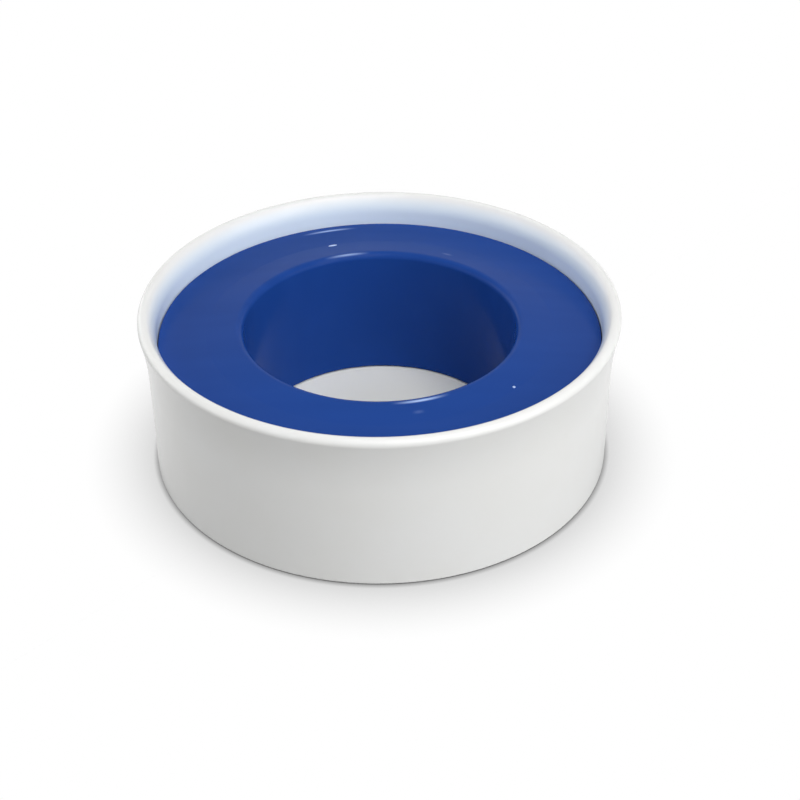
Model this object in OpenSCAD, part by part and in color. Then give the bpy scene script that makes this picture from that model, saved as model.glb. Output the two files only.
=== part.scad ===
// Thread seal tape roll: a wound spool that drops into an open moulded shell.
// Millimetres, +Z up, with the origin at the centre of the shell's base.

/* [Tape] */
// Width of the tape
tape_w = 12; // [8:0.5:25]
// Thickness of one turn of tape
tape_t = 0.075; // [0.05:0.005:0.1]
// Length of tape wound on the spool, in metres
tape_len = 12; // [6:0.5:14]
// Turns that make up the loose outer wrap
loose_turns = 4; // [3:1:8]
// Angle that the loose outer wrap covers up to its free end
loose_deg = 220; // [150:10:300]
// Offset of the loose wrap from the roll's axis, which makes its free end stand off
loose_off = 0.3; // [0:0.05:0.5]

/* [Spool] */
// Diameter of the bore
bore_d = 32; // [20:0.5:40]
// Rounding of the bore's upper edge
bore_edge = 0.8; // [0.4:0.1:1.2]
// Wall of the hub that the tape is wound on
hub_wall = 1.5; // [1.4:0.1:3]
// Rounding where the hub meets the flanges
hub_fillet = 0.2; // [0.1:0.05:0.25]
// Thickness of each flange at its edge
flange_t = 1.15; // [0.8:0.05:2]
// Slope of the upper flange's top face, in degrees
flange_slope = 4.5; // [1:0.5:7]
// Reach of the flanges past the winding
flange_over = 1.5; // [1.3:0.05:3]
// Rounding of the flanges' outer edges
flange_edge = 0.2; // [0.1:0.05:0.6]
// Height of the raised collar round the top of the bore
collar_h = 0.5; // [0.2:0.05:0.8]
// Extra slope of that collar over the flange's, in degrees
collar_extra = 3.5; // [2:0.5:8]
// Hollow rounding from collar to flange
collar_blend = 2; // [1:0.25:4]
// Rounding of the spigot's edges under the lower flange
spigot_edge = 0.3; // [0.2:0.05:0.45]

/* [Shell] */
// Thickness of the wall
shell_wall = 1.3; // [0.8:0.1:2]
// Height of the rim above the edge of the spool's upper flange
rim_rise = 3.75; // [2:0.25:6]
// Reach of the rounded lip past the wall
lip_flare = 0.7; // [0.4:0.1:1.5]
// Rounding of the lip, half its thickness
lip_r = 0.7; // [0.5:0.05:0.9]
// Height over which the outside flares out to the lip
flare_h = 6.6; // [4:0.2:10]
// Height over which the inside opens out to the lip
mouth_h = 1.7; // [1.2:0.1:4]
// Draft of the outside: how much narrower the base is than the wall above it
wall_draft = 0.05; // [0:0.05:0.4]
// Rounding of the base's outer edge
base_edge = 0.25; // [0.1:0.05:0.8]
// Thickness of the inward ledge that carries the spool
ledge_t = 1.2; // [0.9:0.1:2]
// Width of that ledge
ledge_w = 3; // [1.5:0.25:5]
// Rounding in the corner between wall and ledge
ledge_fillet = 0.2; // [0.1:0.05:0.4]
// Rounding of the ledge's inner edges
ledge_edge = 0.3; // [0.1:0.05:0.4]

/* [Fits] */
// Gap all round between the flanges and the shell
spool_gap = 0.1; // [0.1:0.05:0.4]
// Gap between the tape and each flange
tape_gap = 0.25; // [0.25:0.05:0.6]
// Gap between surfaces that turn on each other inside the winding
turn_gap = 0.05; // [0.03:0.01:0.1]
// Gap between the end of the spool's spigot and the surface below
floor_gap = 0.1; // [0.1:0.05:0.4]

/* [Hidden] */
$fn = 128;
arc_steps = 10;
mm_per_m = 1000;

// Winding: the area of its section is the tape's length times its thickness.
bore_r = bore_d / 2;
hub_r = bore_r + hub_wall;
core_r = hub_r + turn_gap;
wound_r = sqrt(core_r ^ 2 + tape_len * mm_per_m * tape_t / PI);
loose_t = loose_turns * tape_t;
pack_r = wound_r - loose_t - turn_gap;
loose_r = pack_r + turn_gap + loose_off;

// Heights, from the ledge that the lower flange sits on up to the top of the bore
low_inner = ledge_t + flange_t;
tape_z = low_inner + tape_gap;
top_inner = tape_z + tape_w + tape_gap;
top_edge = top_inner + flange_t;

// Flanges and collar: the collar's straight slope lies between the bore's rounding and its own foot,
// where it runs out into the flange's gentler slope.
flange_r = wound_r + flange_over;
edge_round = min(flange_edge, flange_t * 0.45);
collar_slope = flange_slope + collar_extra;
bends = bore_edge + collar_blend;
straight_h = collar_h - bends * (1 - cos(collar_slope));
foot_r = bore_r + bore_edge + bends * sin(collar_slope) + straight_h / tan(collar_slope);
top_root = top_edge + (flange_r - foot_r) * tan(flange_slope);
spool_top = top_root + collar_h;
edge_c = [bore_r + bore_edge, spool_top - bore_edge];

// Lower end of the hub: its two roundings share the hub's wall.
spigot_round = min(spigot_edge, hub_wall * 0.3);

// Shell
inner_r = flange_r + spool_gap;
wall_r = inner_r + shell_wall;
base_r = wall_r - wall_draft;
ledge_r = inner_r - ledge_w;
ledge_round = min(ledge_edge, ledge_t * 0.45);
lip_c = [wall_r + lip_flare - lip_r, top_edge + rim_rise - lip_r];
flare_z = lip_c.y - flare_h;
mouth_z = lip_c.y - mouth_h;

// The fillet in the seat stays within the flange's rounding, so that the flange lies flat on the ledge.
seat_fillet = min(ledge_fillet, edge_round);

// Each flare is an arc that leaves the wall upright and runs into the lip's rounding.
outer_off = lip_c.x - wall_r;
outer_bend = (flare_h ^ 2 + outer_off ^ 2 - lip_r ^ 2) / (2 * (outer_off + lip_r));
outer_deg = atan2(flare_h, outer_bend - outer_off);
inner_off = lip_c.x - inner_r;
inner_bend = (mouth_h ^ 2 + inner_off ^ 2 - lip_r ^ 2) / (2 * (inner_off - lip_r));
inner_deg = atan2(mouth_h, inner_bend - inner_off);

function arc(centre, radius, from, to) = [
  for (i = [0 : arc_steps])
    let (a = from + (to - from) * i / arc_steps)
    centre + radius * [cos(a), sin(a)]
];

// Section of the spool, from the bore over the collar and flanges to the spigot
function spool_section() = concat(
  arc(edge_c, bore_edge, 180, 90 - collar_slope),
  arc([foot_r, top_root + collar_blend], collar_blend, 270 - collar_slope, 270 - flange_slope),
  arc([flange_r - edge_round, top_edge - edge_round], edge_round, 90 - flange_slope, 0),
  arc([flange_r - edge_round, top_inner + edge_round], edge_round, 0, -90),
  arc([hub_r + hub_fillet, top_inner - hub_fillet], hub_fillet, 90, 180),
  arc([hub_r + hub_fillet, low_inner + hub_fillet], hub_fillet, 180, 270),
  arc([flange_r - edge_round, low_inner - edge_round], edge_round, 90, 0),
  arc([flange_r - edge_round, ledge_t + edge_round], edge_round, 0, -90),
  arc([hub_r + hub_fillet, ledge_t - hub_fillet], hub_fillet, 90, 180),
  arc([hub_r - spigot_round, floor_gap + spigot_round], spigot_round, 0, -90),
  arc([bore_r + spigot_round, floor_gap + spigot_round], spigot_round, 270, 180)
);

// Section of the shell, from the base up the outside, over the lip and down to the ledge
function shell_section() = concat(
  arc([ledge_r + ledge_round, ledge_round], ledge_round, 180, 270),
  arc([base_r - base_edge, base_edge], base_edge, 270, 360),
  arc([wall_r + outer_bend, flare_z], outer_bend, 180, 180 - outer_deg),
  arc(lip_c, lip_r, -outer_deg, 180 - inner_deg),
  arc([inner_r + inner_bend, mouth_z], inner_bend, 180 - inner_deg, 180),
  arc([inner_r - seat_fillet, ledge_t + seat_fillet], seat_fillet, 0, -90),
  arc([ledge_r + ledge_round, ledge_t - ledge_round], ledge_round, 90, 180)
);

// Section of wound tape from one radius out by a given thickness
module tape_section(radius, thickness) {
  translate([radius, tape_z])
    square([thickness, tape_w]);
}

// Moulded shell with a flared, rounded lip, a bell mouth and a ledge that the lower flange sits on
module outer_shell() {
  color("#eef0f3")
    rotate_extrude()
      polygon(shell_section());
}

// Moulded spool: hub, two flanges, a collar round the bore and a spigot that stands in the ledge
module spool() {
  color("#24489a")
    rotate_extrude()
      polygon(spool_section());
}

// Wound tape that stays on the hub
module tape_roll() {
  color("#f7f7f4")
    rotate_extrude()
      tape_section(core_r, pack_r - core_r);
}

// Loose outer wrap: it hugs the winding where it starts and stands off at its free end
module tape_end() {
  color("#fbfbf8")
    translate([-loose_off, 0, 0])
      rotate_extrude(angle = loose_deg)
        tape_section(loose_r, loose_t);
}

outer_shell();
spool();
tape_roll();
tape_end();
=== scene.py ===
import math
import bpy
from mathutils import Matrix, Vector


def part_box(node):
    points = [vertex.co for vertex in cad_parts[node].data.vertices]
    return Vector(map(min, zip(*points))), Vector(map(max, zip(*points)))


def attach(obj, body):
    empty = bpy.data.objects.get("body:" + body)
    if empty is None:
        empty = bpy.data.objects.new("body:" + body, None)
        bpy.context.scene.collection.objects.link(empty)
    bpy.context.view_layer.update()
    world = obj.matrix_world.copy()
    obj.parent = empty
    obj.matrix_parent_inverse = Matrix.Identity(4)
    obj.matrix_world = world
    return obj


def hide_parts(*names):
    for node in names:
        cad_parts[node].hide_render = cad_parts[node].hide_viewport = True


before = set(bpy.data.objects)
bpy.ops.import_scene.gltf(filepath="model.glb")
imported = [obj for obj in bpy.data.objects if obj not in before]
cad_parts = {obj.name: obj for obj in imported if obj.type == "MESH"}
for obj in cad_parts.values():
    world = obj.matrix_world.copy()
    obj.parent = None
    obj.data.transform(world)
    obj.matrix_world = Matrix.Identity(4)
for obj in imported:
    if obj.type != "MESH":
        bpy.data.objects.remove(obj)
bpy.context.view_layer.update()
mm = 0.001
scene = bpy.context.scene
print("frame loaded:", ", ".join(sorted(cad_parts)))


# small helpers: colours, nodes, objects, sections

def linear(hexText):
    # sRGB hex to the linear colour that sockets take
    parts = [int(hexText[i:i + 2], 16) / 255 for i in (1, 3, 5)]
    return [c / 12.92 if c <= 0.04045 else ((c + 0.055) / 1.055) ** 2.4 for c in parts] + [1.0]


def addNode(tree, kind, feeds=None, **props):
    # feeds: socket name or number -> a fixed value, or another node's output to link
    # a colour Mix has its factor at 0, its two colours at 6 and 7, and its result at 2
    node = tree.nodes.new(kind)
    for name, value in props.items():
        setattr(node, name, value)
    for socket, value in (feeds or {}).items():
        if isinstance(value, bpy.types.NodeSocket):
            tree.links.new(value, node.inputs[socket])
        else:
            node.inputs[socket].default_value = value
    return node


def newMaterial(name):
    material = bpy.data.materials.new(name)
    material.use_nodes = True
    tree = material.node_tree
    tree.nodes.clear()
    return material, tree


def newTree(name, inputs, result):
    # a geometry tree with named inputs, listed by kind of socket, and one geometry as its result
    tree = bpy.data.node_groups.new(name, "GeometryNodeTree")
    for kind, sockets in inputs.items():
        for socket in sockets:
            tree.interface.new_socket(socket, in_out="INPUT", socket_type="NodeSocket" + kind)
    tree.interface.new_socket(result, in_out="OUTPUT", socket_type="NodeSocketGeometry")
    return tree, addNode(tree, "NodeGroupInput").outputs


def endTree(tree, shape, finish, result):
    # every tree ends in one plain mesh with its material
    plain = addNode(tree, "GeometryNodeRealizeInstances", {"Geometry": shape})
    coat = addNode(tree, "GeometryNodeSetMaterial", {"Geometry": plain.outputs[0], "Material": finish})
    addNode(tree, "NodeGroupOutput", {result: coat.outputs[0]})
    return tree


def newObject(name, data):
    piece = bpy.data.objects.new(name, data)
    scene.collection.objects.link(piece)
    return piece


def runTree(piece, tree, values):
    # sets the tree's inputs by identifier, then turns the result into a plain mesh
    modifier = piece.modifiers.new("build", "NODES")
    modifier.node_group = tree
    sockets = {s.name: s.identifier for s in tree.interface.items_tree if s.in_out == "INPUT"}
    for name, value in values.items():
        modifier[sockets[name]] = value
    depsgraph = bpy.context.evaluated_depsgraph_get()
    mesh = bpy.data.meshes.new_from_object(piece.evaluated_get(depsgraph), depsgraph=depsgraph)
    piece.modifiers.remove(modifier)
    oldMesh = piece.data
    piece.data = mesh
    mesh.name = piece.name
    bpy.data.meshes.remove(oldMesh)
    print("built", piece.name, len(mesh.polygons), "faces")
    return piece


def arc(centre, radius, start, end, steps):
    # points of an arc in the section plane, angles in degrees, sizes in mm
    angles = [math.radians(start + (end - start) * i / steps) for i in range(steps + 1)]
    return [(centre[0] + radius * math.cos(a), centre[1] + radius * math.sin(a)) for a in angles]


def towards(start, end, distance):
    # the point a given distance along the line from start to end
    t = distance / math.dist(start, end)
    return (start[0] + (end[0] - start[0]) * t, start[1] + (end[1] - start[1]) * t)


def closeRuns(points, step, guard=0.06, same=1e-5):
    # long straight runs get extra points, two of them close to the ends, so smooth shading stays flat there
    out = []
    for i, start in enumerate(points):
        end = points[(i + 1) % len(points)]
        run = math.dist(start, end)
        out.append(start)
        if run > 4 * guard:
            count = max(1, round((run - 2 * guard) / step))
            out += [towards(start, end, guard + (run - 2 * guard) * k / count) for k in range(count + 1)]
    return [point for i, point in enumerate(out) if i == 0 or math.dist(point, out[i - 1]) > same]


def sectionObject(name, points):
    # a closed outline in mm, made in the XY plane with x as the radius and y as the height
    count = len(points)
    area = sum(points[i - 1][0] * points[i][1] - points[i][0] * points[i - 1][1] for i in range(count))
    if area > 0:
        points = points[::-1]  # clockwise, so that the swept faces point outwards
    edges = [(i, (i + 1) % count) for i in range(count)]
    mesh = bpy.data.meshes.new(name)
    mesh.from_pydata([(r * mm, z * mm, 0) for r, z in points], edges, [])
    return newObject(name, mesh)


# materials, with pattern sizes in mm

# painted blue bounce light from the spool: mixed into the shell's colour inside these radii and above these
# heights, each as start and end
shellLook = {
    "tones": ("#ECECE9", "#F0F1F1"), "cloud": 9, "roughness": (0.17, 0.26), "grain": 0.45, "grainDepth": 0.02,
    "paintedBounceColour": "#E4F1FA", "paintedBounceWithin": (26.7, 26.0), "paintedBounceAbove": (12.0, 15.5),
}


def shellFinish(look):
    # white polypropylene, injection moulded: a satin skin with a fine grain and a slightly uneven gloss, and
    # painted blue bounce light in the mouth
    material, tree = newMaterial("whiteMouldedPolypropylene")
    place = addNode(tree, "ShaderNodeTexCoord").outputs["Object"]
    clouds = addNode(tree, "ShaderNodeTexNoise", {"Vector": place, "Scale": 1 / (look["cloud"] * mm),
                     "Detail": 2.0})  # soft flow clouds
    tint = addNode(tree, "ShaderNodeMix", {0: clouds.outputs["Fac"], 6: linear(look["tones"][0]),
                   7: linear(look["tones"][1])}, data_type="RGBA")
    flat = addNode(tree, "ShaderNodeVectorMath", {0: place, 1: (1, 1, 0)}, operation="MULTIPLY")
    radius = addNode(tree, "ShaderNodeVectorMath", {0: flat.outputs[0]}, operation="LENGTH")
    parts = addNode(tree, "ShaderNodeSeparateXYZ", {0: place})
    inside = addNode(tree, "ShaderNodeMapRange", {"Value": radius.outputs["Value"],
                     "From Min": look["paintedBounceWithin"][0] * mm, "From Max": look["paintedBounceWithin"][1] * mm})
    paintedBounceMask = addNode(tree, "ShaderNodeMapRange", {"Value": parts.outputs["Z"],
                    "From Min": look["paintedBounceAbove"][0] * mm, "From Max": look["paintedBounceAbove"][1] * mm,
                    "To Max": inside.outputs[0]})
    # painted reflection: the spool's blue bounce light, mixed into the base colour at the top of the inside
    # wall
    tint = addNode(tree, "ShaderNodeMix", {0: paintedBounceMask.outputs[0], 6: tint.outputs[2],
                   7: linear(look["paintedBounceColour"])}, data_type="RGBA")
    gloss = addNode(tree, "ShaderNodeMapRange", {"Value": clouds.outputs["Fac"],
                    "To Min": look["roughness"][0], "To Max": look["roughness"][1]},
                    clamp=False)  # stays under 0.27, where denoising would draw a contour
    grain = addNode(tree, "ShaderNodeTexNoise", {"Vector": place, "Scale": 1 / (look["grain"] * mm),
                    "Detail": 3.0})  # coarser than the real grain, so that it shows
    bump = addNode(tree, "ShaderNodeBump", {"Height": grain.outputs["Fac"], "Strength": 0.12,
                   "Distance": look["grainDepth"] * mm})
    skin = addNode(tree, "ShaderNodeBsdfPrincipled", {"Base Color": tint.outputs[2],
                   "Roughness": gloss.outputs[0], "IOR": 1.49, "Specular IOR Level": 0.35,
                   "Normal": bump.outputs[0]})
    addNode(tree, "ShaderNodeOutputMaterial", {"Surface": skin.outputs[0]})
    return material


# painted highlights: pale glints drawn into the colour of the spool's upper edges, each as radius, angle,
# reach, width and how pale it is
spoolLook = {
    "streak": (16, 2.5, 8), "streakTurn": 0.35,  # long and narrow, turned by this angle in radians
    "tones": ("#1B428E", "#204796"), "roughness": (0.13, 0.2), "peel": 1.4, "peelDepth": 0.02,
    "paintedGlintColour": "#B9D3FF", "paintedGlintAbove": 10,
    "paintedGlints": ((24.6, 105, 9, 0.35, 0.85), (16.5, 104, 11, 0.25, 0.6), (17.0, -75, 12, 0.3, 0.9),
             (18.7, -77.5, 2.5, 0.4, 0.1), (18.2, 62, 3, 0.35, 0.12)),
}


def spoolFinish(look):
    # blue polypropylene, injection moulded: half gloss, faint orange peel and soft rubbed streaks; the pale
    # glints on the upper edges are painted highlights
    material, tree = newMaterial("blueMouldedPolypropylene")
    place = addNode(tree, "ShaderNodeTexCoord").outputs["Object"]
    drawn = addNode(tree, "ShaderNodeMapping", {"Vector": place, "Rotation": (0, 0, look["streakTurn"]),
                    "Scale": [1 / (size * mm) for size in look["streak"]]})
    streaks = addNode(tree, "ShaderNodeTexNoise", {"Vector": drawn.outputs[0], "Scale": 1.0, "Detail": 1.0})
    tint = addNode(tree, "ShaderNodeMix", {0: streaks.outputs["Fac"], 6: linear(look["tones"][0]),
                   7: linear(look["tones"][1])}, data_type="RGBA")
    flat = addNode(tree, "ShaderNodeVectorMath", {0: place, 1: (1, 1, 0)}, operation="MULTIPLY")
    radius = addNode(tree, "ShaderNodeVectorMath", {0: flat.outputs[0]}, operation="LENGTH")
    parts = addNode(tree, "ShaderNodeSeparateXYZ", {0: place})
    angle = addNode(tree, "ShaderNodeMath", {0: parts.outputs["Y"], 1: parts.outputs["X"]},
                    operation="ARCTAN2")
    upper = addNode(tree, "ShaderNodeMath", {0: parts.outputs["Z"], 1: look["paintedGlintAbove"] * mm},
                    operation="GREATER_THAN")
    glintMask = None
    for ring, turn, reach, wide, paleness in look["paintedGlints"]:
        off = addNode(tree, "ShaderNodeMath", {0: radius.outputs["Value"], 1: ring * mm},
                      operation="SUBTRACT")
        off = addNode(tree, "ShaderNodeMath", {0: off.outputs[0]}, operation="ABSOLUTE")
        across = addNode(tree, "ShaderNodeMapRange", {"Value": off.outputs[0], "From Max": wide * mm,
                         "To Min": paleness, "To Max": 0.0}, interpolation_type="SMOOTHSTEP")
        off = addNode(tree, "ShaderNodeMath", {0: angle.outputs[0], 1: math.radians(turn)},
                      operation="SUBTRACT")
        off = addNode(tree, "ShaderNodeMath", {0: off.outputs[0]}, operation="ABSOLUTE")
        along = addNode(tree, "ShaderNodeMapRange", {"Value": off.outputs[0], "From Max": math.radians(reach),
                        "To Min": 1.0, "To Max": 0.0}, interpolation_type="SMOOTHSTEP")
        mark = addNode(tree, "ShaderNodeMath", {0: across.outputs[0], 1: along.outputs[0]},
                       operation="MULTIPLY")
        if glintMask:
            mark = addNode(tree, "ShaderNodeMath", {0: glintMask.outputs[0], 1: mark.outputs[0]},
                           operation="MAXIMUM")
        glintMask = mark
    # painted highlights: the pale glint colour is mixed into the base colour on the upper edges
    glintShare = addNode(tree, "ShaderNodeMath", {0: glintMask.outputs[0], 1: upper.outputs[0]}, operation="MULTIPLY")
    tint = addNode(tree, "ShaderNodeMix", {0: glintShare.outputs[0], 6: tint.outputs[2],
                   7: linear(look["paintedGlintColour"])}, data_type="RGBA")
    gloss = addNode(tree, "ShaderNodeMapRange", {"Value": streaks.outputs["Fac"],
                    "To Min": look["roughness"][0], "To Max": look["roughness"][1]}, clamp=False)
    peel = addNode(tree, "ShaderNodeTexNoise", {"Vector": place, "Scale": 1 / (look["peel"] * mm),
                   "Detail": 2.0})
    bump = addNode(tree, "ShaderNodeBump", {"Height": peel.outputs["Fac"], "Strength": 0.1,
                   "Distance": look["peelDepth"] * mm})
    skin = addNode(tree, "ShaderNodeBsdfPrincipled", {"Base Color": tint.outputs[2],
                   "Roughness": gloss.outputs[0], "IOR": 1.49, "Specular IOR Level": 0.045,
                   "Normal": bump.outputs[0]})
    addNode(tree, "ShaderNodeOutputMaterial", {"Surface": skin.outputs[0]})
    return material


# the beads' pale tones are a painted highlight
pipLook = {"tones": ("#A9C6F7", "#D6E5FF"), "mottle": 0.15, "roughness": (0.3, 0.5)}


def pipFinish(look):
    # the same plastic painted pale: the pale colour is a painted highlight that makes the tiny beads glint,
    # with a fine mottle
    material, tree = newMaterial("paintedGlintBluePolypropylene")
    place = addNode(tree, "ShaderNodeTexCoord").outputs["Object"]
    mottle = addNode(tree, "ShaderNodeTexNoise", {"Vector": place, "Scale": 1 / (look["mottle"] * mm),
                     "Detail": 2.0})
    tint = addNode(tree, "ShaderNodeMix", {0: mottle.outputs["Fac"], 6: linear(look["tones"][0]),
                   7: linear(look["tones"][1])}, data_type="RGBA")
    gloss = addNode(tree, "ShaderNodeMapRange", {"Value": mottle.outputs["Fac"],
                    "To Min": look["roughness"][0], "To Max": look["roughness"][1]}, clamp=False)
    skin = addNode(tree, "ShaderNodeBsdfPrincipled", {"Base Color": tint.outputs[2],
                   "Roughness": gloss.outputs[0], "IOR": 1.49})
    addNode(tree, "ShaderNodeOutputMaterial", {"Surface": skin.outputs[0]})
    return material


tapeLook = {"tones": ("#EDEDE8", "#F6F6F3"), "streak": (9, 9, 0.35), "roughness": (0.5, 0.66), "depth": 0.03}


def tapeFinish(look):
    # unsintered PTFE film: soft matt white with fine streaks along its length
    material, tree = newMaterial("whiteSealFilm")
    place = addNode(tree, "ShaderNodeTexCoord").outputs["Object"]
    stretch = addNode(tree, "ShaderNodeMapping", {"Vector": place,
                      "Scale": [1 / (size * mm) for size in look["streak"]]})
    streaks = addNode(tree, "ShaderNodeTexNoise", {"Vector": stretch.outputs[0], "Scale": 1.0, "Detail": 3.0})
    tint = addNode(tree, "ShaderNodeMix", {0: streaks.outputs["Fac"], 6: linear(look["tones"][0]),
                   7: linear(look["tones"][1])}, data_type="RGBA")
    gloss = addNode(tree, "ShaderNodeMapRange", {"Value": streaks.outputs["Fac"],
                    "To Min": look["roughness"][0], "To Max": look["roughness"][1]})
    bump = addNode(tree, "ShaderNodeBump", {"Height": streaks.outputs["Fac"], "Strength": 0.25,
                   "Distance": look["depth"] * mm})
    skin = addNode(tree, "ShaderNodeBsdfPrincipled", {"Base Color": tint.outputs[2],
                   "Roughness": gloss.outputs[0], "IOR": 1.37, "Normal": bump.outputs[0]})
    addNode(tree, "ShaderNodeOutputMaterial", {"Surface": skin.outputs[0]})
    return material


whitePlastic = shellFinish(shellLook)
bluePlastic = spoolFinish(spoolLook)
glintPipPlastic = pipFinish(pipLook)
sealFilm = tapeFinish(tapeLook)
print("materials made")


# a section swept once round the axis, for the two mouldings and the core of the winding

def latheTree():
    tree, given = newTree("turnSection", {"Geometry": ["Section"], "Int": ["Segments"],
                          "Float": ["Guide Radius"], "Material": ["Finish"]}, "Body")
    ring = addNode(tree, "GeometryNodeCurvePrimitiveCircle", {"Resolution": given["Segments"],
                   "Radius": given["Guide Radius"]})
    upright = addNode(tree, "GeometryNodeSetCurveNormal", {"Curve": ring.outputs[0]}, mode="Z_UP")
    shift = addNode(tree, "ShaderNodeCombineXYZ", {"X": given["Guide Radius"]})
    inward = addNode(tree, "ShaderNodeVectorMath", {0: shift.outputs[0], "Scale": -1.0}, operation="SCALE")
    local = addNode(tree, "GeometryNodeTransform", {"Geometry": given["Section"],
                    "Translation": inward.outputs[0], "Scale": (1, -1, 1)})  # the sweep turns it upside down
    outline = addNode(tree, "GeometryNodeMeshToCurve", {"Mesh": local.outputs[0]})
    sweep = addNode(tree, "GeometryNodeCurveToMesh", {"Curve": upright.outputs[0],
                    "Profile Curve": outline.outputs[0]})
    smooth = addNode(tree, "GeometryNodeSetShadeSmooth", {"Geometry": sweep.outputs[0]})
    return endTree(tree, smooth.outputs[0], given["Finish"], "Body")


lathe = latheTree()

# outer shell: base ring, straight wall, flared and rounded lip; steps are the points on each arc
_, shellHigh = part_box("outer_shell")
spoolLow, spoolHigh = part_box("spool")
shell = {
    "lipRadius": shellHigh.x / mm, "rimHeight": shellHigh.z / mm, "flangeRadius": spoolHigh.x / mm,
    "spoolGap": 0.1, "lipRound": 0.7, "lipFlare": 0.7, "flareHeight": 6.6, "mouthHeight": 1.7, "draft": 0.05,
    "baseEdge": 0.25, "ledge": 1.2, "ledgeWide": 3.0, "ledgeFillet": 0.2, "ledgeEdge": 0.3,
    "lipSteps": 30, "flareSteps": 24, "baseSteps": 14, "ledgeSteps": 8, "segments": 256, "runStep": 0.9,
}


def shellSection(s):
    inner = s["flangeRadius"] + s["spoolGap"]
    wall = s["lipRadius"] - s["lipFlare"]
    hole = inner - s["ledgeWide"]
    lip = (s["lipRadius"] - s["lipRound"], s["rimHeight"] - s["lipRound"])
    high, paintedBounceMask, small = s["flareHeight"], s["mouthHeight"], s["lipRound"]
    # each flare is an arc that leaves the wall upright and runs into the lip's rounding
    outOff, inOff = lip[0] - wall, lip[0] - inner
    outBend = (high ** 2 + outOff ** 2 - small ** 2) / (2 * (outOff + small))
    inBend = (paintedBounceMask ** 2 + inOff ** 2 - small ** 2) / (2 * (inOff - small))
    outTurn = math.degrees(math.atan2(high, outBend - outOff))
    inTurn = math.degrees(math.atan2(paintedBounceMask, inBend - inOff))
    foot, edge, fillet = s["baseEdge"], s["ledgeEdge"], s["ledgeFillet"]
    points = arc((hole + edge, edge), edge, 180, 270, s["ledgeSteps"])
    points += arc((wall - s["draft"] - foot, foot), foot, 270, 360, s["baseSteps"])
    points += arc((wall + outBend, lip[1] - high), outBend, 180, 180 - outTurn, s["flareSteps"])
    points += arc(lip, small, -outTurn, 180 - inTurn, s["lipSteps"])
    points += arc((inner + inBend, lip[1] - paintedBounceMask), inBend, 180 - inTurn, 180, s["flareSteps"])
    points += arc((inner - fillet, s["ledge"] + fillet), fillet, 0, -90, s["ledgeSteps"])
    points += arc((hole + edge, s["ledge"] - edge), edge, 90, 180, s["ledgeSteps"])
    return closeRuns(points, s["runStep"])


outerShell = runTree(sectionObject("outerShell", shellSection(shell)), lathe, {
    "Segments": shell["segments"], "Guide Radius": shell["lipRadius"] * mm, "Finish": whitePlastic})
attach(outerShell, "shell")
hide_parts("outer_shell")


# spool: hub, two flanges, shallow collar round the bore, rounded edges
spool = {
    "flangeRadius": spoolHigh.x / mm, "top": spoolHigh.z / mm, "bottom": spoolLow.z / mm,
    "boreRadius": 16.0, "boreEdge": 0.8, "hubWall": 1.5, "hubFillet": 0.2, "flange": 1.15, "flangeSlope": 4.5,
    "flangeEdge": 0.2, "collarHigh": 0.5, "collarExtra": 3.5, "collarBlend": 2.0, "spigotEdge": 0.3,
    "ledge": shell["ledge"], "boreSteps": 18, "blendSteps": 8, "edgeSteps": 14, "filletSteps": 6,
    "spigotSteps": 10, "segments": 256, "runStep": 0.9, "markStep": 0.06, "markRun": 1.6,
}


def spoolSection(s):
    bore, edge, gentle = s["boreRadius"], s["boreEdge"], s["flangeSlope"]
    hub = bore + s["hubWall"]
    rim, rimEdge, blend = s["flangeRadius"], s["flangeEdge"], s["collarBlend"]
    fillet, spigot = s["hubFillet"], s["spigotEdge"]
    slope = gentle + s["collarExtra"]
    lean, bends = math.radians(slope), edge + blend
    straight = s["collarHigh"] - bends * (1 - math.cos(lean))
    foot = bore + edge + bends * math.sin(lean) + straight / math.tan(lean)
    root = s["top"] - s["collarHigh"]
    topEdge = root - (rim - foot) * math.tan(math.radians(gentle))
    topInner = topEdge - s["flange"]
    lowInner = s["ledge"] + s["flange"]
    points = arc((bore + edge, s["top"] - edge), edge, 180, 90 - slope, s["boreSteps"])
    collar = arc((foot, root + blend), blend, 270 - slope, 270 - gentle, s["blendSteps"])
    # close rows of points outside the bore's rounding, where the witness line runs
    rows = [k * s["markStep"] for k in range(1, round(s["markRun"] / s["markStep"]) + 1)]
    points += [towards(points[-1], collar[0], distance) for distance in rows] + collar
    points += arc((rim - rimEdge, topEdge - rimEdge), rimEdge, 90 - gentle, 0, s["edgeSteps"])
    points += arc((rim - rimEdge, topInner + rimEdge), rimEdge, 0, -90, s["edgeSteps"])
    points += arc((hub + fillet, topInner - fillet), fillet, 90, 180, s["filletSteps"])
    points += arc((hub + fillet, lowInner + fillet), fillet, 180, 270, s["filletSteps"])
    points += arc((rim - rimEdge, lowInner - rimEdge), rimEdge, 90, 0, s["edgeSteps"])
    points += arc((rim - rimEdge, s["ledge"] + rimEdge), rimEdge, 0, -90, s["edgeSteps"])
    points += arc((hub + fillet, s["ledge"] - fillet), fillet, 90, 180, s["filletSteps"])
    points += arc((hub - spigot, s["bottom"] + spigot), spigot, 0, -90, s["spigotSteps"])
    points += arc((bore + spigot, s["bottom"] + spigot), spigot, 270, 180, s["spigotSteps"])
    return closeRuns(points, s["runStep"])


spoolOutline = spoolSection(spool)
spoolBody = runTree(sectionObject("spoolBody", spoolOutline), lathe, {
    "Segments": spool["segments"], "Guide Radius": spool["boreRadius"] * mm, "Finish": bluePlastic})

# witness line: a faint, wavy ridge that leaves the bore's edge at the back; sizes in mm, by input name
witness = {"Radius": 16.9, "Aside": 2.7, "Wide": 0.2, "High": 0.02, "Wobble": 0.3, "Wobble Size": 3.5,
           "From X": -1.5, "From Y": 15.4, "Fade": 1.2}


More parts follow.
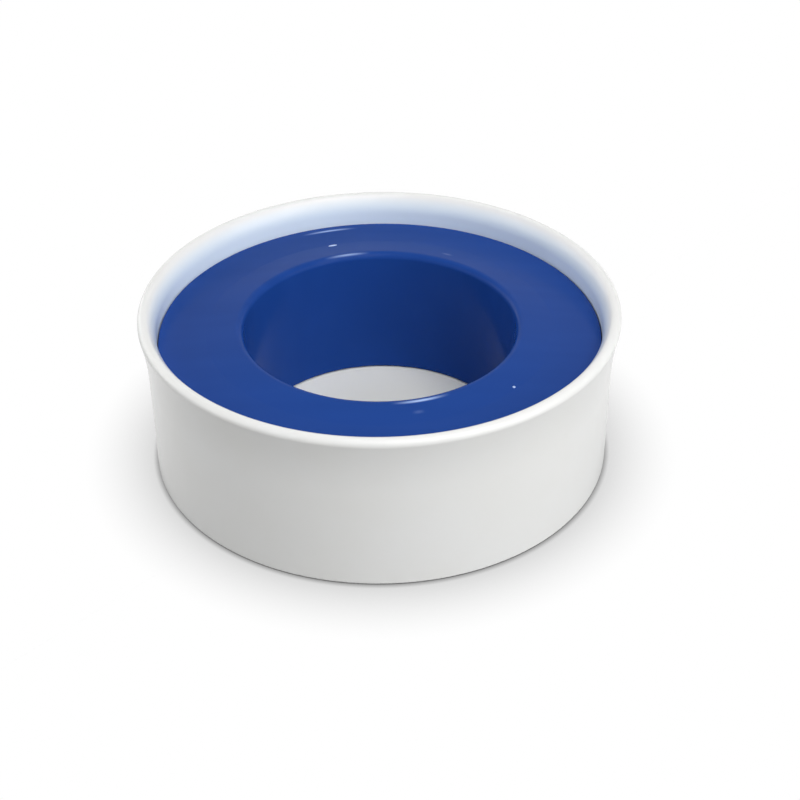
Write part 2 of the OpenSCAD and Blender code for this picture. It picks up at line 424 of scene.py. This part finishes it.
def witnessTree():
    tree, given = newTree("witnessLine", {"Geometry": ["Body"], "Float": [*witness, "Above"],
                          "Material": ["Finish"]}, "Body")
    place = addNode(tree, "GeometryNodeInputPosition")
    parts = addNode(tree, "ShaderNodeSeparateXYZ", {0: place.outputs[0]})
    east = addNode(tree, "ShaderNodeMath", {0: parts.outputs["X"], 1: given["Aside"]}, operation="SUBTRACT")
    flat = addNode(tree, "ShaderNodeCombineXYZ", {"X": east.outputs[0], "Y": parts.outputs["Y"]})
    radius = addNode(tree, "ShaderNodeVectorMath", {0: flat.outputs[0]}, operation="LENGTH")
    fine = addNode(tree, "ShaderNodeMath", {0: 1.0, 1: given["Wobble Size"]}, operation="DIVIDE")
    waver = addNode(tree, "ShaderNodeTexNoise", {"Vector": flat.outputs[0], "Scale": fine.outputs[0],
                    "Detail": 2.0})
    swing = addNode(tree, "ShaderNodeMath", {0: waver.outputs["Fac"], 1: 0.5},
                    operation="SUBTRACT")  # to both sides
    ring = addNode(tree, "ShaderNodeMath", {0: swing.outputs[0], 1: given["Wobble"], 2: given["Radius"]},
                   operation="MULTIPLY_ADD")
    off = addNode(tree, "ShaderNodeMath", {0: radius.outputs["Value"], 1: ring.outputs[0]},
                  operation="SUBTRACT")
    away = addNode(tree, "ShaderNodeMath", {0: off.outputs[0]}, operation="ABSOLUTE")
    ridge = addNode(tree, "ShaderNodeMapRange", {"Value": away.outputs[0], "From Max": given["Wide"],
                    "To Min": given["High"], "To Max": 0.0}, interpolation_type="SMOOTHSTEP")
    top = addNode(tree, "ShaderNodeMath", {0: parts.outputs["Z"], 1: given["Above"]},
                  operation="GREATER_THAN")
    lift = addNode(tree, "ShaderNodeMath", {0: ridge.outputs[0], 1: top.outputs[0]}, operation="MULTIPLY")
    for axis in ("X", "Y"):
        start = given["From " + axis]
        end = addNode(tree, "ShaderNodeMath", {0: start, 1: given["Fade"]}, operation="ADD")
        part = addNode(tree, "ShaderNodeMapRange", {"Value": parts.outputs[axis], "From Min": start,
                       "From Max": end.outputs[0]})
        lift = addNode(tree, "ShaderNodeMath", {0: lift.outputs[0], 1: part.outputs[0]}, operation="MULTIPLY")
    upward = addNode(tree, "ShaderNodeCombineXYZ", {"Z": lift.outputs[0]})
    moved = addNode(tree, "GeometryNodeSetPosition", {"Geometry": given["Body"], "Offset": upward.outputs[0]})
    return endTree(tree, moved.outputs[0], given["Finish"], "Body")


witnessSizes = {name: size * mm for name, size in witness.items()}
runTree(spoolBody, witnessTree(), {**witnessSizes, "Above": spoolHigh.z - spool["flange"] * mm,
                                   "Finish": bluePlastic})
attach(spoolBody, "spool")
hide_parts("spool")


# moulding pips: tiny beads left on the flange, each as angle, radius and length
pips = {"places": ((107, 20.0, 3.4), (-42.5, 19.95, 1.0)), "radius": 0.17, "flatten": 0.6, "sink": 0.02,
        "detail": 3}


def pipTree():
    tree, given = newTree("mouldingPips", {"Geometry": ["Places"], "Float": ["Radius", "Flatten"],
                          "Int": ["Detail"], "Material": ["Finish"]}, "Pips")
    bead = addNode(tree, "GeometryNodeMeshIcoSphere", {"Radius": given["Radius"],
                   "Subdivisions": given["Detail"]})
    smooth = addNode(tree, "GeometryNodeSetShadeSmooth", {"Geometry": bead.outputs["Mesh"]})
    length = addNode(tree, "GeometryNodeInputNamedAttribute", {"Name": "length"}, data_type="FLOAT")
    angle = addNode(tree, "GeometryNodeInputNamedAttribute", {"Name": "angle"}, data_type="FLOAT")
    low = addNode(tree, "ShaderNodeCombineXYZ", {"X": 1.0, "Y": length.outputs[0], "Z": given["Flatten"]})
    turn = addNode(tree, "ShaderNodeCombineXYZ", {"Z": angle.outputs[0]})
    copies = addNode(tree, "GeometryNodeInstanceOnPoints", {"Points": given["Places"],
                     "Instance": smooth.outputs[0], "Rotation": turn.outputs[0], "Scale": low.outputs[0]})
    return endTree(tree, copies.outputs[0], given["Finish"], "Pips")


def topHeight(outline, radius):
    # height of the spool's top face at a radius
    for (r0, z0), (r1, z1) in zip(outline, outline[1:]):
        if r0 < radius <= r1:
            return z0 + (z1 - z0) * (radius - r0) / (r1 - r0)


def pipPoints(p):
    # one point for each bead on the flange, with the bead's angle and length
    spots, angles, lengths = [], [], []
    for degrees, radius, length in p["places"]:
        angle = math.radians(degrees)
        height = topHeight(spoolOutline, radius) - p["sink"]
        spots.append((radius * mm * math.cos(angle), radius * mm * math.sin(angle), height * mm))
        angles.append(angle)
        lengths.append(length)
    mesh = bpy.data.meshes.new("mouldingPips")
    mesh.from_pydata(spots, [], [])
    for name, values in (("angle", angles), ("length", lengths)):
        mesh.attributes.new(name, "FLOAT", "POINT").data.foreach_set("value", values)
    return newObject("mouldingPips", mesh)


mouldingPips = runTree(pipPoints(pips), pipTree(), {
    "Radius": pips["radius"] * mm, "Flatten": pips["flatten"], "Detail": pips["detail"],
    "Finish": glintPipPlastic})
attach(mouldingPips, "spool")


filmCorner = 0.6  # radians, edges of the film that are bent by more than this stay crisp


def crispFilm(tree, shape):
    # smooth along the film, with crisp edges
    bend = addNode(tree, "GeometryNodeInputMeshEdgeAngle")
    corner = addNode(tree, "ShaderNodeMath", {0: bend.outputs["Unsigned Angle"], 1: filmCorner},
                     operation="GREATER_THAN")
    smooth = addNode(tree, "GeometryNodeSetShadeSmooth", {"Geometry": shape})
    crisp = addNode(tree, "GeometryNodeSetShadeSmooth", {"Geometry": smooth.outputs[0],
                    "Selection": corner.outputs[0], "Shade Smooth": False}, domain="EDGE")
    return crisp.outputs[0]


# wound tape: the outer turns are one spiral of film whose edges wander, over a plain wound core
tapeLow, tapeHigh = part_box("tape_roll")
winding = {
    "outerRadius": tapeHigh.x / mm, "bottom": tapeLow.z / mm, "top": tapeHigh.z / mm, "hubGap": 0.05,
    "turns": 6, "film": 0.075, "turnGap": 0.012, "pointsPerTurn": 128, "edgeRoom": 0.1, "wander": 0.07,
    "wanderLength": 45, "ripples": 26, "ripple": 0.05,
}
tapeWide = winding["top"] - winding["bottom"]
tapeMiddle = (winding["top"] + winding["bottom"]) / 2


def windingTree():
    tree, given = newTree("windTape", {
        "Geometry": ["Core Section"], "Int": ["Turns", "Points Per Turn"],
        "Float": ["Start Radius", "End Radius", "Film", "Width", "Middle", "Wander", "Wander Length"],
        "Material": ["Finish"]}, "Winding")
    core = addNode(tree, "GeometryNodeGroup", {"Section": given["Core Section"],
                   "Segments": given["Points Per Turn"], "Guide Radius": given["Start Radius"],
                   "Finish": given["Finish"]}, node_tree=lathe)
    spiral = addNode(tree, "GeometryNodeCurveSpiral", {"Resolution": given["Points Per Turn"],
                     "Rotations": given["Turns"], "Start Radius": given["Start Radius"],
                     "End Radius": given["End Radius"], "Height": 0.0})
    along = addNode(tree, "GeometryNodeSplineParameter")
    step = addNode(tree, "ShaderNodeMath", {0: along.outputs["Length"], 1: given["Wander Length"]},
                   operation="DIVIDE")
    drift = addNode(tree, "ShaderNodeTexNoise", {"W": step.outputs[0], "Scale": 1.0}, noise_dimensions="1D")
    swing = addNode(tree, "ShaderNodeMath", {0: drift.outputs["Fac"], 1: 0.5},
                    operation="SUBTRACT")  # up and down
    height = addNode(tree, "ShaderNodeMath", {0: swing.outputs[0], 1: given["Wander"], 2: given["Middle"]},
                     operation="MULTIPLY_ADD")
    upward = addNode(tree, "ShaderNodeCombineXYZ", {"Z": height.outputs[0]})
    route = addNode(tree, "GeometryNodeSetPosition", {"Geometry": spiral.outputs[0],
                    "Offset": upward.outputs[0]})
    upright = addNode(tree, "GeometryNodeSetCurveNormal", {"Curve": route.outputs[0]}, mode="Z_UP")
    strip = addNode(tree, "GeometryNodeCurvePrimitiveQuadrilateral", {"Width": given["Film"],
                    "Height": given["Width"]})
    film = addNode(tree, "GeometryNodeCurveToMesh", {"Curve": upright.outputs[0],
                   "Profile Curve": strip.outputs[0], "Fill Caps": True})
    both = addNode(tree, "GeometryNodeJoinGeometry", {"Geometry": core.outputs[0]})
    tree.links.new(film.outputs[0], both.inputs[0])
    return endTree(tree, crispFilm(tree, both.outputs[0]), given["Finish"], "Winding")


def coreSection(w, outer):
    # ring of packed turns: its two end faces show the turns as shallow ripples
    inner = spool["boreRadius"] + spool["hubWall"] + w["hubGap"]
    half = tapeWide / 2 - w["edgeRoom"]
    steps = range(w["ripples"] + 1)
    rows = [(inner + (outer - inner) * k / w["ripples"], half - w["ripple"] * (k % 2)) for k in steps]
    return [(r, tapeMiddle + z) for r, z in rows] + [(r, tapeMiddle - z) for r, z in reversed(rows)]


pitch = winding["film"] + winding["turnGap"]
spiralEnd = winding["outerRadius"] - winding["film"] / 2 - winding["turnGap"]
spiralStart = spiralEnd - winding["turns"] * pitch
tapeWinding = sectionObject("tapeWinding", coreSection(winding, spiralStart - pitch))
runTree(tapeWinding, windingTree(), {
    "Turns": winding["turns"], "Points Per Turn": winding["pointsPerTurn"], "Start Radius": spiralStart * mm,
    "End Radius": spiralEnd * mm, "Film": winding["film"] * mm, "Middle": tapeMiddle * mm,
    "Width": (tapeWide - 2 * winding["edgeRoom"]) * mm, "Wander": 2 * winding["wander"] * mm,
    "Wander Length": winding["wanderLength"] * mm, "Finish": sealFilm})
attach(tapeWinding, "spool")
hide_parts("tape_roll")


# loose outer wrap: one strip of film that lies on the roll where it starts and lifts towards its free end
wrap = {
    "standOff": 0.408, "offset": 0.3, "sweep": 220, "film": winding["film"], "edgeRoom": 0.15, "drift": 0.16,
    "curl": 0.3, "curlFrom": 0.9, "wave": 0.1, "waveLength": 9, "ripple": 0.02, "rippleSize": 4,
    "points": 220, "cuts": 11,
}


def wrapTree():
    tree, given = newTree("looseWrap", {
        "Geometry": ["Start"], "Int": ["Points", "Cuts"],
        "Float": ["Radius", "Offset", "Sweep", "Film", "Width", "Middle", "Drift", "Curl", "Curl From",
                  "Wave", "Wave Length", "Ripple", "Ripple Size"],
        "Material": ["Finish"]}, "Wrap")
    turn = addNode(tree, "GeometryNodeCurveArc", {"Resolution": given["Points"], "Radius": given["Radius"],
                   "Start Angle": 0.0, "Sweep Angle": given["Sweep"]})
    along = addNode(tree, "GeometryNodeSplineParameter")
    curl = addNode(tree, "ShaderNodeMapRange", {"Value": along.outputs["Factor"],
                   "From Min": given["Curl From"], "From Max": 1.0, "To Min": 0.0, "To Max": given["Curl"]},
                   interpolation_type="SMOOTHSTEP")
    step = addNode(tree, "ShaderNodeMath", {0: along.outputs["Length"], 1: given["Wave Length"]},
                   operation="DIVIDE")
    noise = addNode(tree, "ShaderNodeTexNoise", {"W": step.outputs[0], "Scale": 1.0}, noise_dimensions="1D")
    wave = addNode(tree, "ShaderNodeMath", {0: noise.outputs["Fac"], 1: given["Wave"], 2: given["Drift"]},
                   operation="MULTIPLY_ADD")
    lift = addNode(tree, "ShaderNodeMath", {0: wave.outputs[0], 1: along.outputs["Factor"],
                   2: curl.outputs[0]}, operation="MULTIPLY_ADD")  # everything grows towards the free end
    place = addNode(tree, "GeometryNodeInputPosition")
    outward = addNode(tree, "ShaderNodeVectorMath", {0: place.outputs[0]}, operation="NORMALIZE")
    push = addNode(tree, "ShaderNodeVectorMath", {0: outward.outputs[0], "Scale": lift.outputs[0]},
                   operation="SCALE")
    route = addNode(tree, "GeometryNodeSetPosition", {"Geometry": turn.outputs["Curve"],
                    "Offset": push.outputs[0]})
    upright = addNode(tree, "GeometryNodeSetCurveNormal", {"Curve": route.outputs[0]}, mode="Z_UP")
    strip = addNode(tree, "GeometryNodeCurvePrimitiveQuadrilateral", {"Width": given["Film"],
                    "Height": given["Width"]})
    strip = addNode(tree, "GeometryNodeSubdivideCurve", {"Curve": strip.outputs[0], "Cuts": given["Cuts"]})
    film = addNode(tree, "GeometryNodeCurveToMesh", {"Curve": upright.outputs[0],
                   "Profile Curve": strip.outputs[0], "Fill Caps": True})
    fine = addNode(tree, "ShaderNodeMath", {0: 1.0, 1: given["Ripple Size"]}, operation="DIVIDE")
    cockle = addNode(tree, "ShaderNodeTexNoise", {"Vector": place.outputs[0], "Scale": fine.outputs[0]})
    cockle = addNode(tree, "ShaderNodeMath", {0: cockle.outputs["Fac"], 1: given["Ripple"]},
                     operation="MULTIPLY")
    sway = addNode(tree, "ShaderNodeVectorMath", {0: outward.outputs[0], "Scale": cockle.outputs[0]},
                   operation="SCALE")
    level = addNode(tree, "ShaderNodeVectorMath", {0: sway.outputs[0], 1: (1, 1, 0)}, operation="MULTIPLY")
    soft = addNode(tree, "GeometryNodeSetPosition", {"Geometry": film.outputs[0], "Offset": level.outputs[0]})
    back = addNode(tree, "ShaderNodeMath", {0: given["Offset"], 1: -1.0}, operation="MULTIPLY")
    shift = addNode(tree, "ShaderNodeCombineXYZ", {"X": back.outputs[0], "Z": given["Middle"]})
    placed = addNode(tree, "GeometryNodeTransform", {"Geometry": soft.outputs[0],
                     "Translation": shift.outputs[0]})
    return endTree(tree, crispFilm(tree, placed.outputs[0]), given["Finish"], "Wrap")


looseWrap = newObject("looseWrap", bpy.data.meshes.new("looseWrap"))
runTree(looseWrap, wrapTree(), {
    "Points": wrap["points"], "Cuts": wrap["cuts"], "Sweep": math.radians(wrap["sweep"]),
    "Radius": (winding["outerRadius"] + wrap["standOff"]) * mm, "Offset": wrap["offset"] * mm,
    "Film": wrap["film"] * mm, "Width": (tapeWide - 2 * wrap["edgeRoom"]) * mm, "Middle": tapeMiddle * mm,
    "Drift": wrap["drift"] * mm, "Curl": wrap["curl"] * mm, "Curl From": wrap["curlFrom"],
    "Wave": wrap["wave"] * mm, "Wave Length": wrap["waveLength"] * mm, "Ripple": wrap["ripple"] * mm,
    "Ripple Size": wrap["rippleSize"] * mm, "Finish": sealFilm})
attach(looseWrap, "tape_end")
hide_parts("tape_end")


# camera: matched to the photograph's view, aimed without any lens shift
camera = {"elevation": 33.71, "distance": 191.15, "focalPixels": 1593.65, "roll": -0.82, "target": (0, 0, 9),
          "targetPixel": (380.61, 377.47), "imageWide": 800, "sensor": 36.0, "clipStart": 5}
lift, roll = math.radians(camera["elevation"]), math.radians(camera["roll"])
backward = Vector((0, -math.cos(lift), math.sin(lift)))
eye = (Vector(camera["target"]) + camera["distance"] * backward) * mm
side = Vector((1, 0, 0))
above = side.cross(-backward)
sideRolled = side * math.cos(roll) + above * math.sin(roll)
aboveRolled = above * math.cos(roll) - side * math.sin(roll)
middle = camera["imageWide"] / 2
shiftX = (middle - camera["targetPixel"][0]) / camera["focalPixels"]
shiftY = (middle - camera["targetPixel"][1]) / camera["focalPixels"]
ahead = (-backward + sideRolled * shiftX - aboveRolled * shiftY).normalized()
right = (sideRolled - ahead * sideRolled.dot(ahead)).normalized()
up = right.cross(ahead)
cameraData = bpy.data.cameras.new("photoCamera")
cameraData.sensor_width = camera["sensor"]
cameraData.lens = camera["focalPixels"] / camera["imageWide"] * camera["sensor"]
cameraData.clip_start = camera["clipStart"] * mm
cameraObject = newObject("photoCamera", cameraData)
cameraObject.matrix_world = Matrix(((right.x, up.x, -ahead.x, eye.x), (right.y, up.y, -ahead.y, eye.y),
                                    (right.z, up.z, -ahead.z, eye.z), (0, 0, 0, 1)))
scene.camera = cameraObject
print("camera set")


# lamps: square soft boxes aimed at the middle of the roll, each with its place in mm and its watts
lamps = {
    "size": 400, "target": camera["target"], "notMirrored": ("backLow",),
    "boxes": {
        "overhead": ((106, -183, 462), 1.4), "frontHigh": ((192, -332, 330), 0.8),
        "rightFront": ((416, -240, 147), 1.15), "leftFront": ((-416, -240, 147), 0.37),
        "leftSide": ((-481, 0, 147), 0.6), "leftBack": ((-384, 289, 147), 0.75),
        "backHigh": ((0, 308, 403), 0.12), "backLow": ((0, 481, 147), 0.6),
    },
}
for name, (place, watts) in lamps["boxes"].items():
    lampData = bpy.data.lights.new(name, "AREA")
    lampData.shape = "SQUARE"
    lampData.size = lamps["size"] * mm
    lampData.energy = watts
    lampObject = newObject(name, lampData)
    lampObject.location = Vector(place) * mm
    lampObject.rotation_euler = (Vector(lamps["target"]) - Vector(place)).to_track_quat("-Z", "Y").to_euler()
    lampObject.visible_glossy = name not in lamps["notMirrored"]


def seenRays(tree):
    # 1 for rays that show the surroundings to the eye, 0 for those that only carry light
    path = addNode(tree, "ShaderNodeLightPath")
    seen = addNode(tree, "ShaderNodeMath", {0: path.outputs["Is Camera Ray"],
                   1: path.outputs["Is Glossy Ray"]}, operation="MAXIMUM")
    seen = addNode(tree, "ShaderNodeMath", {0: seen.outputs[0], 1: path.outputs["Is Transmission Ray"]},
                   operation="MAXIMUM")
    return seen.outputs[0]


# plain white surroundings, which give only a soft fill
sky = {"tone": "#FFFFFF", "fill": 0.01, "white": 1.0}
world = bpy.data.worlds.new("studio")
scene.world = world
world.use_nodes = True
tree = world.node_tree
tree.nodes.clear()
level = addNode(tree, "ShaderNodeMapRange", {"Value": seenRays(tree), "To Min": sky["fill"],
                "To Max": sky["white"]})
light = addNode(tree, "ShaderNodeBackground", {"Color": linear(sky["tone"]), "Strength": level.outputs[0]})
addNode(tree, "ShaderNodeOutputWorld", {"Surface": light.outputs[0]})


# floor: pale sheet, lit inside the bore and plain white around, with a painted soft shadow and a thin painted
# contact shadow
floor = {"half": 3000, "white": "#FFFFFF", "paper": "#FFFEF2", "bounce": "#9E9E9E", "litTo": 17, "fadeTo": 22,
         "shadowReach": 9, "shadowCurve": 0.6, "contactReach": 0.7, "contactCurve": 1.0, "rays": 16}


def floorFinish(f):
    # matt paper: plain white to the eye, and greyer outside the bore for the light that it throws back
    material, tree = newMaterial("paleStudioPaper")
    seen = seenRays(tree)
    place = addNode(tree, "ShaderNodeTexCoord").outputs["Object"]
    reach = addNode(tree, "ShaderNodeVectorMath", {0: place}, operation="LENGTH")
    outside = addNode(tree, "ShaderNodeMapRange", {"Value": reach.outputs["Value"],
                      "From Min": f["litTo"] * mm, "From Max": f["fadeTo"] * mm},
                      interpolation_type="SMOOTHSTEP")
    share = addNode(tree, "ShaderNodeMath", {0: outside.outputs[0], 1: seen}, operation="MULTIPLY")
    dull = addNode(tree, "ShaderNodeMath", {0: outside.outputs[0], 1: share.outputs[0]}, operation="SUBTRACT")
    tone = addNode(tree, "ShaderNodeMix", {0: dull.outputs[0], 6: linear(f["paper"]),
                   7: linear(f["bounce"])}, data_type="RGBA")
    paper = addNode(tree, "ShaderNodeBsdfDiffuse", {"Color": tone.outputs[2]})
    shade = None
    # painted shadow: outside the bore the white glow is darkened by occlusion, broad for the soft shadow and
    # short for the contact shadow at the foot
    for size in ("shadow", "contact"):
        nook = addNode(tree, "ShaderNodeAmbientOcclusion", {"Distance": f[size + "Reach"] * mm},
                       samples=f["rays"])
        part = addNode(tree, "ShaderNodeMath", {0: nook.outputs["AO"], 1: f[size + "Curve"]},
                       operation="POWER")
        if shade:
            part = addNode(tree, "ShaderNodeMath", {0: shade.outputs[0], 1: part.outputs[0]},
                           operation="MULTIPLY")
        shade = part
    glow = addNode(tree, "ShaderNodeEmission", {"Color": linear(f["white"]), "Strength": shade.outputs[0]})
    blend = addNode(tree, "ShaderNodeMixShader", {0: share.outputs[0], 1: paper.outputs[0],
                    2: glow.outputs[0]})
    addNode(tree, "ShaderNodeOutputMaterial", {"Surface": blend.outputs[0]})
    return material


half = floor["half"] * mm
floorMesh = bpy.data.meshes.new("studioFloor")
floorMesh.from_pydata([(-half, -half, 0), (half, -half, 0), (half, half, 0), (-half, half, 0)], [],
                      [(0, 1, 2, 3)])
floorMesh.materials.append(floorFinish(floor))
floorPiece = newObject("studioFloor", floorMesh)

scene.view_settings.view_transform = "Standard"
print("light and floor set")
